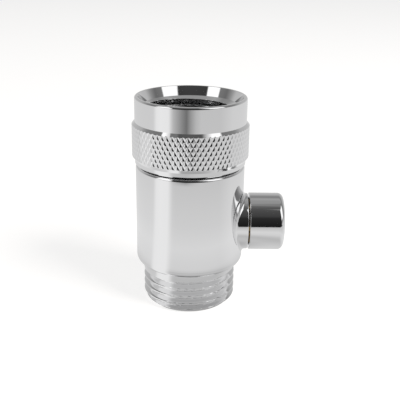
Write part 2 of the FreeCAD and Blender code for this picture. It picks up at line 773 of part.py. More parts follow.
# Check valve in the outlet
def make_check_valve():
    """A cartridge pushed into the outlet bore: housing, O-ring, guide, poppet, seal and spring."""
    groove_middle = "(check_seat + outlet_bore_depth) / 2"
    groove_floor = "check_radius - 2 * check_ring_cord"
    keep(turned_piece("check_valve_housing", [
        ("check_bore_radius", "check_bottom"),
        ("check_radius", "check_bottom"),
        ("check_radius", groove_middle + " - check_ring_groove_width / 2"),
        (groove_floor, groove_middle + " - check_ring_groove_width / 2"),
        (groove_floor, groove_middle + " + check_ring_groove_width / 2"),
        ("check_radius", groove_middle + " + check_ring_groove_width / 2"),
        ("check_radius", "outlet_bore_depth"),
        ("check_seat_radius", "outlet_bore_depth"),
        ("check_seat_radius", "check_seat"),
        ("check_bore_radius", "check_seat"),
    ]))
    make_o_ring("check_valve_o_ring", "check_radius - check_ring_cord", "check_ring_cord",
                groove_middle)
    make_guide()
    keep(turned_piece("check_valve_poppet", [
        ("0", "guide_top - poppet_stem_overlap"),
        ("poppet_stem_radius", "guide_top - poppet_stem_overlap"),
        ("poppet_stem_radius", "poppet_bottom"),
        ("poppet_radius", "poppet_bottom"),
        ("poppet_radius", "poppet_top"),
        ("poppet_nose_radius", "poppet_top"),
        ("poppet_nose_radius - poppet_nose_taper", "poppet_top + poppet_nose_height"),
        ("0", "poppet_top + poppet_nose_height"),
    ]))
    keep(turned_piece("check_valve_seal", [
        ("poppet_nose_radius + thread_fit", "poppet_top"),
        ("poppet_radius - thread_fit", "poppet_top"),
        ("poppet_radius - thread_fit", "seal_top"),
        ("poppet_nose_radius + thread_fit", "seal_top"),
    ]))
    make_check_spring()


def make_guide():
    """The spoked ring at the cartridge's mouth, whose hub guides the poppet's stem."""
    body = new_body("check_valve_guide")
    turned_feature(body, "Revolution", "guide_ring", [
        ("guide_radius - guide_ring_wall", "check_bottom"),
        ("guide_radius", "check_bottom"),
        ("guide_radius", "check_bottom + guide_ring_height"),
        ("guide_radius - guide_ring_wall", "check_bottom + guide_ring_height"),
    ], "V_Axis")
    sketch = new_sketch(body, "spoke_outline", "XY_Plane")
    reach = "guide_radius - guide_ring_wall / 2"
    hub_middle = "(guide_bore_radius + guide_hub_radius) / 2"
    draw_outline(sketch, [
        (hub_middle, "-guide_spoke_width / 2"),
        (reach, "-guide_spoke_width / 2"),
        (reach, "guide_spoke_width / 2"),
        (hub_middle, "guide_spoke_width / 2"),
    ])
    bind(sketch, "AttachmentOffset.Base.z", "check_bottom")
    spoke = body.newObject("PartDesign::Pad", "guide_spoke")
    spoke.Profile = sketch
    bind(spoke, "Length", "guide_spoke_height")
    doc.recompute()
    pattern = body.newObject("PartDesign::PolarPattern", "guide_spokes_around")
    pattern.Originals = [spoke]
    pattern.Axis = (sketch, ["N_Axis"])
    pattern.Angle = 360
    bind(pattern, "Occurrences", "guide_spokes")
    body.Tip = pattern
    doc.recompute()
    turned_feature(body, "Revolution", "guide_hub", [
        ("guide_bore_radius", "check_bottom"),
        ("guide_hub_radius", "check_bottom"),
        ("guide_hub_radius", "guide_top"),
        ("guide_bore_radius", "guide_top"),
    ], "V_Axis")
    keep(body)


def make_check_spring():
    """The light spring between the guide's hub and the poppet."""
    helix = doc.addObject("Part::Helix", "spring_line")
    coil_height = "(poppet_bottom - guide_top - 2 * spring_wire_radius)"
    bind(helix, "Radius", "spring_radius")
    bind(helix, "Height", coil_height)
    bind(helix, "Pitch", coil_height + " / spring_turns")
    bind(helix, "Placement.Base.z", "guide_top + spring_wire_radius")
    wire = doc.addObject("Part::RegularPolygon", "spring_section")
    wire.Polygon = WIRE_SIDES
    wire.Placement.Rotation = FreeCAD.Rotation(FreeCAD.Vector(1, 0, 0), 90)
    bind(wire, "Circumradius", "spring_wire_radius")
    bind(wire, "Placement.Base.x", "spring_radius")
    bind(wire, "Placement.Base.z", "guide_top + spring_wire_radius")
    doc.recompute()
    spring = doc.addObject("Part::Sweep", "check_valve_spring")
    spring.Label = "check_valve_spring"
    spring.Sections = [wire]
    spring.Spine = (helix, ["Edge%d" % (index + 1) for index in range(len(helix.Shape.Edges))])
    spring.Solid = True
    spring.Frenet = True
    doc.recompute()
    keep(spring)


def check_document():
    """Stops if any object failed or any piece is not one sound solid."""
    for item in doc.Objects:
        if "Invalid" in item.State or "Error" in item.State:
            raise RuntimeError("%s failed: %s" % (item.Label, item.State))
    for piece in nodes:
        shape = piece.Shape
        if shape.isNull() or not shape.isValid() or len(shape.Solids) != 1 or shape.Volume <= 0:
            raise RuntimeError("%s is not one sound solid" % piece.Label)


def write_steps():
    """Writes one STEP file for each piece, named after its label."""
    for piece in nodes:
        piece.Shape.exportStep(os.path.join(PARTS_FOLDER, piece.Label + ".step"))
        box = piece.Shape.BoundBox
        print("%-22s %9.2f mm3  x %.2f %.2f  y %.2f %.2f  z %.2f %.2f" % (
            piece.Label, piece.Shape.Volume, box.XMin, box.XMax, box.YMin, box.YMax,
            box.ZMin, box.ZMax))


fill_sheet()
make_valve_body()
make_union_nut()
make_neck_rings()
make_inlet_washer()
make_inlet_strainer()
make_packing()
make_plunger()
make_check_valve()
doc.recompute()
check_document()
write_steps()
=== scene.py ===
import bmesh
import bpy
import json
import math
from mathutils import Matrix, Vector


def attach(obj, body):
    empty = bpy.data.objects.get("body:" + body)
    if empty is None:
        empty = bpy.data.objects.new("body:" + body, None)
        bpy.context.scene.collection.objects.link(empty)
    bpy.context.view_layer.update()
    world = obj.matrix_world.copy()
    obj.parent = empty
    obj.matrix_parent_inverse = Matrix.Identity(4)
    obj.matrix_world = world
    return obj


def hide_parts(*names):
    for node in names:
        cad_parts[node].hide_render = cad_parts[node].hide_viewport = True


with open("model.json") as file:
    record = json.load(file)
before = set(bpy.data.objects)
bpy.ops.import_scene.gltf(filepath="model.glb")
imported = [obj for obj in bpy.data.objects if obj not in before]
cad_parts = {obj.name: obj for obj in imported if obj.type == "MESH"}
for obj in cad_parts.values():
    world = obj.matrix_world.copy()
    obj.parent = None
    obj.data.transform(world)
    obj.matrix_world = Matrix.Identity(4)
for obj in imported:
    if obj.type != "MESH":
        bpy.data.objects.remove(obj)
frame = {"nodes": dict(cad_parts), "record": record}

# A chromed in-line shower stop valve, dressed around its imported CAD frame. Sizes are in metres,
# Z is the main axis from the outlet up to the union nut, and +X points along the knob's axis.

bl_info = {
    "name": "In-line stop valve",
    "version": (1, 0, 0),
    "blender": (4, 5, 0),
    "location": "View3D > Sidebar > Stop valve",
    "description": "Builds a chromed in-line stop valve with a knurled union nut and a side knob",
    "category": "Add Mesh",
}

MM = 0.001
FULL_TURN = 2 * math.pi
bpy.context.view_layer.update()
# Fineness of the meshes
WALL_COLUMNS = 192
WALL_ROW = 0.9 * MM
WINDOW_ROW = 0.63 * MM
WINDOW_HALF_COLUMNS = 20
WINDOW_PARTS = (0.22, 0.42, 0.6, 0.75, 0.87, 0.95, 1)
SHOULDER_TURN = math.pi / 32
FILLET_STEPS = 10
ROUND_STEPS = 8
FINE_ROUND_STEPS = 12
SMALL_ROUND_STEPS = 4
LINES_PER_TURN = 37
FACET_DEGREES = 5
# Points closer than this are one
TOUCH = 0.001 * MM


def length(name, description, millimetres):
    """A size that a user may change, given in millimetres and kept in metres."""
    return bpy.props.FloatProperty(name=name, description=description, default=millimetres * MM,
                                   precision=5, unit="LENGTH")


def colour(name, description, *levels):
    """A colour that a user may change."""
    return bpy.props.FloatVectorProperty(name=name, description=description, default=levels,
                                         subtype="COLOR", min=0, max=1)


def share(name, description, level):
    """A level from 0 to 1 that a user may change."""
    return bpy.props.FloatProperty(name=name, description=description, default=level,
                                   min=0, max=1, subtype="FACTOR")


class ThreadSizes(bpy.types.PropertyGroup):
    """The pipe thread of both ends."""
    radius: length("Thread radius", "Outside radius of the outlet thread", 10.4775)
    bore_radius: length("Thread bore radius", "Root radius of the nut's female thread", 10.5275)
    depth: length("Thread depth", "Height of a thread from root to crest", 1.1615)
    pitch: length("Pitch", "Rise of the thread in one turn", 1.8143)
    end_chamfer: length("End chamfer", "Size of the chamfer at the outlet's end", 1.1775)
    run_height: length("Thread height", "Height of the shoulder above the outlet's end", 9.3)
    first_valley: length("First valley", "Height of a valley at the front", 1.53)
    mouth_fade: length("Mouth fade", "Height over which the female thread ends", 0.3)
    row: length("Row", "Height of one row of the thread's mesh", 0.05)


class BodySizes(bpy.types.PropertyGroup):
    """The turned body with its neck and bores."""
    wall_radius: length("Wall radius", "Radius of the plain wall", 12.1)
    shoulder_top: length("Shoulder top", "Height at which the plain wall begins", 10.9225)
    top: length("Top", "Height of the body's upper end face", 32.2)
    edge_round: length("Edge round", "Round of the body's upper edge", 0.62)
    neck_radius: length("Neck radius", "Radius of the neck inside the nut", 8.0)
    neck_top: length("Neck top", "Height of the neck's end face", 37.0)
    inlet_radius: length("Inlet radius", "Radius of the inlet bore", 5.6)
    inlet_floor: length("Inlet floor", "Height of the inlet bore's floor", 27.0)
    outlet_radius: length("Outlet radius", "Radius of the outlet bore", 7.5)
    outlet_depth: length("Outlet depth", "Depth of the outlet bore", 10.5)
    outlet_chamfer: length("Outlet chamfer", "Size of the chamfer in the outlet's mouth", 0.4)
    groove_depth: length("Groove depth", "Depth of the snap ring's groove in the neck", 0.8)
    groove_bottom: length("Groove bottom", "Height of the groove's lower side", 35.15)
    groove_top: length("Groove top", "Height of the groove's upper side", 36.23)
    neck_chamfer: length("Neck chamfer", "Size of the chamfer at the neck's end", 0.3)
    recess_radius: length("Recess radius", "Radius of the recess for the strainer's rim", 6.58)
    recess_floor: length("Recess floor", "Height of the recess's floor", 36.2)


class BossSizes(bpy.types.PropertyGroup):
    """The side boss that carries the knob's gland."""
    axis_height: length("Axis height", "Height of the knob's axis", 18.5)
    radius: length("Boss radius", "Outside radius of the boss", 6.4)
    end: length("Boss end", "Distance of the boss's end face from the main axis", 13.1)
    fillet: length("Fillet", "Radius of the blend from boss to wall", 0.8)
    edge_round: length("Boss edge round", "Round of the boss's outer edge", 0.15)
    window_top: length("Window top", "Height up to which the wall is rebuilt round the boss", 26.1)
    gland_bore: length("Gland bore", "Radius of the bore for the gland nut", 5.0)
    gland_start: length("Gland start", "Distance of the bore's step from the main axis", 6.75)
    chamber: length("Chamber", "Radius of the valve chamber", 4.4)
    seat: length("Seat", "Distance of the seat from the main axis, on the other side", 1.5)
    seat_height: length("Seat height", "Height of the seat over the chamber's floor", 0.4)
    seat_radius: length("Seat radius", "Outside radius of the seat", 3.55)
    way_radius: length("Way radius", "Radius of the waterway behind the seat", 3.0)
    way_end: length("Way end", "Distance of the waterway's end from the main axis", 7.9)
    way_point: length("Way point", "Distance of the drill's point from the main axis", 9.7)
    plain_end: length("Plain end", "Length of the boss's last plain row", 0.6)


class NutSizes(bpy.types.PropertyGroup):
    """The swivel union nut."""
    radius: length("Collar radius", "Radius of the smooth collar", 12.22)
    bottom: length("Bottom", "Height of the nut's lower face", 32.5)
    height: length("Height", "Height of the nut", 14.85)
    edge_round: length("Edge round", "Round of the nut's upper edge", 0.45)
    lower_chamfer: length("Lower chamfer", "Size of the chamfer at the nut's lower edge", 0.25)
    neck_gap: length("Neck gap", "Gap between the nut's lip and the neck", 0.05)
    lip_top: length("Lip top", "Height of the inner lip's upper face", 34.6)
    thread_bottom: length("Thread bottom", "Height at which the female thread ends", 38.8)
    relief: length("Relief", "Depth of the relief under the female thread", 0.4)
    mouth_radius: length("Mouth radius", "Radius of the mouth's cone at the rim", 11.45)
    mouth_depth: length("Mouth depth", "Depth of the mouth's cone", 2.1)
    mouth_round: length("Mouth round", "Round between the rim and the mouth's cone", 0.1)
    knurl_bottom: length("Knurl bottom", "Height of the knurl's lower end", 34.42)
    knurl_row: length("Knurl half row", "Height of half a diamond", 0.98)
    knurl_radius: length("Knurl radius", "Outside radius over the diamonds' flats", 12.85)
    knurl_flat: length("Knurl flat", "Height by which the diamonds' points are cut flat", 0.07)
    knurl_depth: length("Knurl depth", "Height of an uncut diamond over its grooves", 0.2)
    knurl_round: length("Knurl round", "Half width of the round in the grooves", 0.07)
    knurl_upper_chamfer: length("Knurl upper chamfer", "Height of the chamfer over the knurl", 0.68)
    knurl_lower_chamfer: length("Knurl lower chamfer", "Height of the chamfer under the knurl", 0.85)
    knurl_overlap: length("Knurl overlap", "Depth to which the band reaches into the collar", 0.4)
    knurl_columns: bpy.props.IntProperty(name="Knurl columns", default=72, min=12,
                                         description="Number of diamonds round the band")
    knurl_half_rows: bpy.props.IntProperty(name="Knurl half rows", default=7, min=3,
                                           description="Height of the band in half diamonds")


class KnobSizes(bpy.types.PropertyGroup):
    """The push-pull knob."""
    radius: length("Knob radius", "Outside radius of the knob", 6.5)
    start: length("Knob start", "Distance of the knob's inner face from the main axis", 13.4)
    length: length("Knob length", "Length of the knob", 7.8)
    edge_round: length("Knob edge round", "Round of the knob's outer edge", 1.2)
    recess_radius: length("Recess radius", "Radius of the hollow over the gland nut", 5.6)
    recess_floor: length("Recess floor", "Distance of the hollow's floor from the main axis", 15.9)
    recess_chamfer: length("Recess chamfer", "Size of the chamfer at the hollow's mouth", 0.2)
    inner_round: length("Inner round", "Round of the knob's edge towards the boss", 0.2)
    bore_radius: length("Knob bore", "Radius of the bore for the stem", 1.53)
    bore_end: length("Bore end", "Distance of the bore's end from the main axis", 20.1)


class Finishes(bpy.types.PropertyGroup):
    """Colours and polish of the valve's materials."""
    chrome: colour("Chrome", "Tint of the chrome plate", 0.86, 0.86, 0.865)
    brass: colour("Brass", "Tint of the turned brass", 0.78, 0.6, 0.32)
    steel: colour("Steel", "Tint of the stainless steel", 0.6, 0.6, 0.6)
    rubber: colour("Rubber", "Colour of the seals", 0.03, 0.03, 0.03)
    white_plastic: colour("White plastic", "Colour of the slip ring and poppet", 0.85, 0.85, 0.83)
    grey_plastic: colour("Grey plastic", "Colour of the strainer and cartridge", 0.35, 0.36, 0.37)
    polish: share("Polish", "Roughness of the chrome plate", 0.035)
    ripple: share("Ripple", "Strength of the ripples in the chrome plate", 0.15)


# Turning, as on a lathe: a profile is drawn point by point and spun about its axis
def open_edit(piece):
    """Selects one piece alone and opens it in edit mode."""
    bpy.ops.object.select_all(action="DESELECT")
    bpy.context.view_layer.objects.active = piece
    piece.select_set(True)
    bpy.ops.object.mode_set(mode="EDIT")
    return bmesh.from_edit_mesh(piece.data)


def close_edit():
    """Goes back to object mode."""
    bpy.ops.object.mode_set(mode="OBJECT")


def add_profile(name, points):
    """One vertex drawn out through (across, up) points on the XZ plane."""
    bpy.ops.object.select_all(action="DESELECT")
    bpy.ops.mesh.primitive_plane_add(size=MM, enter_editmode=True)
    piece = bpy.context.object
    piece.name = piece.data.name = name
    bpy.ops.mesh.merge(type="CENTER")
    bpy.ops.transform.translate(value=(points[0][0], 0, points[0][1]))
    for (across, up), (next_across, next_up) in zip(points, points[1:]):
        step = (next_across - across, 0, next_up - up)
        bpy.ops.mesh.extrude_region_move(TRANSFORM_OT_translate={"value": step})
    close_edit()
    return piece


def spin_profile(piece, axis=(0, 0, 1), columns=WALL_COLUMNS):
    """Spins a piece's profile once round and welds the seam and the poles."""
    open_edit(piece)
    bpy.ops.mesh.select_all(action="SELECT")
    bpy.ops.mesh.spin(steps=columns, angle=FULL_TURN, center=(0, 0, 0), axis=axis)
    weld()
    close_edit()
    return piece


def weld():
    """Merges doubles and turns every face outwards, in edit mode."""
    bpy.ops.mesh.select_all(action="SELECT")
    bpy.ops.mesh.remove_doubles(threshold=TOUCH)
    bpy.ops.mesh.dissolve_degenerate(threshold=TOUCH / 10)
    bpy.ops.mesh.normals_make_consistent(inside=False)


def rounded(corners, steps=ROUND_STEPS):
    """Profile points through (across, up) corners. A third number rounds that corner."""
    points = []
    for index, corner in enumerate(corners):
        if len(corner) == 2:
            points.append(tuple(corner))
            continue
        here = Vector(corner[:2])
        before = (Vector(corners[index - 1][:2]) - here).normalized()
        after = (Vector(corners[index + 1][:2]) - here).normalized()
        half = before.angle(after) / 2
        reach = corner[2] / math.tan(half)
        centre = here + (before + after).normalized() * (corner[2] / math.sin(half))
        start = here + before * reach - centre
        sweep = start.angle_signed(here + after * reach - centre)
        for step in range(steps + 1):
            arm = start.copy()
            arm.rotate(Matrix.Rotation(-sweep * step / steps, 2))
            points.append(tuple(centre + arm))
    return points


def climb(low, high, row):
    """Even heights from low up to high, about a row apart."""
    count = max(1, round((high - low) / row))
    return [low + (high - low) * step / count for step in range(count + 1)]


def polish_edges(piece, degrees=30):
    """Smooth shading whose broad faces stay true next to the small rounds."""
    bpy.ops.object.select_all(action="DESELECT")
    bpy.context.view_layer.objects.active = piece
    piece.select_set(True)
    bpy.ops.object.shade_smooth_by_angle(angle=math.radians(degrees))
    bpy.ops.object.modifier_add(type="WEIGHTED_NORMAL")
    evening = piece.modifiers[-1]
    evening.keep_sharp = True
    bpy.ops.object.modifier_apply(modifier=evening.name)


def join(*pieces):
    """Joins pieces into the first one, which keeps its name."""
    bpy.ops.object.select_all(action="DESELECT")
    for piece in pieces:
        piece.select_set(True)
    bpy.context.view_layer.objects.active = pieces[0]
    bpy.ops.object.join()
    return pieces[0]


# Threads
# The flanks' mix of straight and wavy, the turns in which the outlet thread runs out, and where in its turn
# and how steeply the female thread starts below the mouth
STRAIGHT_SHARE = 0.55
FLANK_STEEPNESS = 1.5
RUN_OUT_TURNS = 0.6
MOUTH_PHASE = 0.2
MOUTH_SLOPE = 1.5


def thread_form(phase):
    """Depth below the crest, from 0 to 1, at a place in one pitch. The root is at phase 0."""
    flank = 1.0 - min(abs(phase % 1.0), 1.0 - abs(phase % 1.0)) * 2
    straight = 0.5 + (flank - 0.5) * FLANK_STEEPNESS
    soft = 0.5 + 0.5 * math.sin((flank - 0.5) * math.pi)
    return min(1.0, max(0.0, STRAIGHT_SHARE * straight + (1 - STRAIGHT_SHARE) * soft))


def along_thread(height, rise, thread):
    """A height and its rise in turns, moved onto the nearest of the even lines that run with the thread."""
    line = round(rise * LINES_PER_TURN) / LINES_PER_TURN
    return height + (line - rise) * thread.pitch, line


def cut_outlet_thread(piece, thread):
    """Cuts the right-handed outlet thread into the plain rows at the body's foot."""
    mesh = open_edit(piece)
    root = thread.radius - thread.depth
    fade = FULL_TURN * RUN_OUT_TURNS
    last_turn = FULL_TURN * ((thread.run_height - thread.first_valley) / thread.pitch - RUN_OUT_TURNS)
    for vertex in mesh.verts:
        across = math.hypot(vertex.co.x, vertex.co.y)
        if not (-TOUCH < vertex.co.z < thread.run_height - 10 * TOUCH and across > root - 4 * thread.row):
            continue
        angle = math.atan2(vertex.co.y, vertex.co.x) + math.pi / 2
        rise = (vertex.co.z - thread.first_valley) / thread.pitch - angle / FULL_TURN
        turned = angle + FULL_TURN * round(rise)
        if thread.row < vertex.co.z < thread.run_height - thread.row:
            vertex.co.z, rise = along_thread(vertex.co.z, rise, thread)
        deep = min(1.0, max(0.0, (last_turn - turned) / fade))
        radius = thread.radius - thread.depth * thread_form(rise) * deep * deep * (3 - 2 * deep)
        radius = min(radius, thread.radius - thread.end_chamfer + vertex.co.z)
        vertex.co.x *= radius / across
        vertex.co.y *= radius / across
    bmesh.update_edit_mesh(piece.data)
    close_edit()


def cut_inlet_thread(piece, thread, nut):
    """Raises the turns of the female thread from the nut's plain bore."""
    mesh = open_edit(piece)
    mouth_floor = nut.bottom + nut.height - nut.mouth_depth
    for vertex in mesh.verts:
        across = math.hypot(vertex.co.x, vertex.co.y)
        if abs(across - thread.bore_radius) > TOUCH:
            continue
        angle = math.atan2(vertex.co.y, vertex.co.x) + math.pi / 2
        rise = (vertex.co.z - mouth_floor) / thread.pitch - angle / FULL_TURN
        if nut.thread_bottom + thread.row < vertex.co.z < mouth_floor - thread.row:
            vertex.co.z, rise = along_thread(vertex.co.z, rise, thread)
        radius = thread.bore_radius - thread.depth * (1 - thread_form(rise + MOUTH_PHASE))
        radius = max(radius, thread.bore_radius - (mouth_floor - vertex.co.z) * MOUTH_SLOPE)
        low = min(1.0, max(0.0, (vertex.co.z - nut.thread_bottom) / thread.mouth_fade))
        radius = thread.bore_radius + (radius - thread.bore_radius) * low
        vertex.co.x *= radius / across
        vertex.co.y *= radius / across
    bmesh.update_edit_mesh(piece.data)
    close_edit()


# Body
class VALVE_OT_body(bpy.types.Operator):
    """Turns the body with its outlet thread, shoulder, neck and bores, and blends in the boss"""
    bl_idname = "valve.body"
    bl_label = "Body"

    def execute(self, context):
        body = context.scene.valve_body
        boss = context.scene.valve_boss
        thread = context.scene.valve_thread
        end_radius = thread.radius - thread.end_chamfer
        shoulder = body.wall_radius - thread.radius
        window_rows = climb(body.shoulder_top, boss.window_top, WINDOW_ROW)
        wall_top = body.top - body.edge_round
        corners = [
            (0, body.outlet_depth),
            (body.outlet_radius, body.outlet_depth),
            (body.outlet_radius, body.outlet_chamfer),
            (body.outlet_radius + body.outlet_chamfer, 0),
        ]
        corners += [(thread.radius if up else end_radius, up)
                    for up in climb(0, thread.run_height, thread.row)]
        corners += [(thread.radius + shoulder * math.sin(turn), body.shoulder_top - shoulder * math.cos(turn))
                    for turn in climb(0, math.pi / 2, SHOULDER_TURN)[1:]]
        corners += [(body.wall_radius, up) for up in window_rows[1:]]
        corners += [(body.wall_radius, up) for up in climb(boss.window_top, wall_top, WALL_ROW)[1:-1]]
        corners += rounded([
            (body.wall_radius, boss.window_top),
            (body.wall_radius, body.top, body.edge_round),
            (body.neck_radius, body.top),
        ])[1:]
        corners += [
            (body.neck_radius, body.groove_bottom),
            (body.neck_radius - body.groove_depth, body.groove_bottom),
            (body.neck_radius - body.groove_depth, body.groove_top),
            (body.neck_radius, body.groove_top),
            (body.neck_radius, body.neck_top - body.neck_chamfer),
            (body.neck_radius - body.neck_chamfer, body.neck_top),
            (body.recess_radius, body.neck_top),
            (body.recess_radius, body.recess_floor),
            (body.inlet_radius, body.recess_floor),
            (body.inlet_radius, body.inlet_floor),
            (0, body.inlet_floor),
        ]
        piece = spin_profile(add_profile("chromed_body", corners))
        cut_outlet_thread(piece, thread)
        self.blend_boss(piece, body, boss)
        polish_edges(piece)
        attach(piece, "housing")
        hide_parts("valve_body")
        piece.data.materials.append(chrome_plate("body_chrome", context))
        return {"FINISHED"}

    def blend_boss(self, piece, body, boss):
        """Opens a window in the wall and draws its rim inwards, over the fillet and out to the boss."""
        mesh = open_edit(piece)
        mesh.select_mode = {"FACE"}
        half_angle = FULL_TURN * WINDOW_HALF_COLUMNS / WALL_COLUMNS
        for face in mesh.faces:
            middle = face.calc_center_median()
            face.select_set(abs(middle.x ** 2 + middle.y ** 2 - body.wall_radius ** 2) < MM ** 2
                            and middle.x > 0
                            and abs(math.atan2(middle.y, middle.x)) < half_angle
                            and body.shoulder_top < middle.z < boss.window_top)
        mesh.select_flush_mode()
        bmesh.update_edit_mesh(piece.data)
        bpy.ops.mesh.delete(type="FACE")
        mesh = bmesh.from_edit_mesh(piece.data)
        mesh.select_mode = {"EDGE"}
        for edge in mesh.edges:
            edge.select_set(edge.is_boundary)
        turn = mesh.verts.layers.float.new("boss_turn")
        for vertex in mesh.verts:
            if vertex.select:
                around = body.wall_radius * math.atan2(vertex.co.y, vertex.co.x)
                vertex[turn] = math.atan2(vertex.co.z - boss.axis_height, around)
        rim = {}
        for vertex in mesh.verts:
            if vertex.select:
                rim[round(vertex[turn], 5)] = (math.atan2(vertex.co.y, vertex.co.x), vertex.co.z)
        bmesh.update_edit_mesh(piece.data)

        wall_reach = body.wall_radius + boss.fillet
        boss_reach = boss.radius + boss.fillet

        def on_wall(angle, part):
            """A place on the wall, from the window's rim at part 0 to the fillet's foot at 1."""
            rim_angle, rim_height = rim[round(angle, 5)]
            foot_angle = math.asin(boss_reach * math.cos(angle) / wall_reach)
            foot_height = boss.axis_height + boss_reach * math.sin(angle)
            around = rim_angle + (foot_angle - rim_angle) * part
            height = rim_height + (foot_height - rim_height) * part
            return (body.wall_radius * math.cos(around), body.wall_radius * math.sin(around), height)

        def on_fillet(angle, part):
            """A place on the ball's path, from its foot on the wall at part 0 to the boss at 1."""
            centre = Vector((math.sqrt(wall_reach ** 2 - (boss_reach * math.cos(angle)) ** 2),
                             boss_reach * math.cos(angle), boss_reach * math.sin(angle)))
            foot = Vector((centre.x, centre.y, 0)) * (body.wall_radius / wall_reach)
            foot.z = centre.z
            side = Vector((centre.x, boss.radius * math.cos(angle), boss.radius * math.sin(angle)))
            arm = (foot - centre).normalized().slerp((side - centre).normalized(), part)
            place = centre + arm.normalized() * boss.fillet
            return (place.x, place.y, place.z + boss.axis_height)

        def on_boss(radius, across):
            """Places at one radius and distance from the main axis."""
            return lambda angle: (across, radius * math.cos(angle),
                                  boss.axis_height + radius * math.sin(angle))

        rings = [lambda angle, part=part: on_wall(angle, part) for part in WINDOW_PARTS]
        rings += [lambda angle, part=step / FILLET_STEPS: on_fillet(angle, part)
                  for step in range(1, FILLET_STEPS + 1)]
        outer = rounded([
            (boss.end - boss.plain_end, boss.radius),
            (boss.end, boss.radius, boss.edge_round),
            (boss.end, boss.gland_bore),
        ], SMALL_ROUND_STEPS)
        inner = [
            (boss.gland_start, boss.gland_bore),
            (boss.gland_start, boss.chamber),
            (-boss.seat - boss.seat_height, boss.chamber),
            (-boss.seat - boss.seat_height, boss.seat_radius),
            (-boss.seat, boss.seat_radius),
            (-boss.seat, boss.way_radius),
            (-boss.way_end, boss.way_radius),
            (-boss.way_point, TOUCH),
        ]
        rings += [on_boss(radius, across) for across, radius in outer + inner]
        for ring in rings:
            bpy.ops.mesh.extrude_region_move(TRANSFORM_OT_translate={"value": (0, 0, 0)})
            mesh = bmesh.from_edit_mesh(piece.data)
            turn = mesh.verts.layers.float["boss_turn"]
            for vertex in mesh.verts:
                if vertex.select:
                    vertex.co = ring(vertex[turn])
            bmesh.update_edit_mesh(piece.data)
        bpy.ops.mesh.merge(type="CENTER")
        weld()
        close_edit()
        piece.data.attributes.remove(piece.data.attributes["boss_turn"])


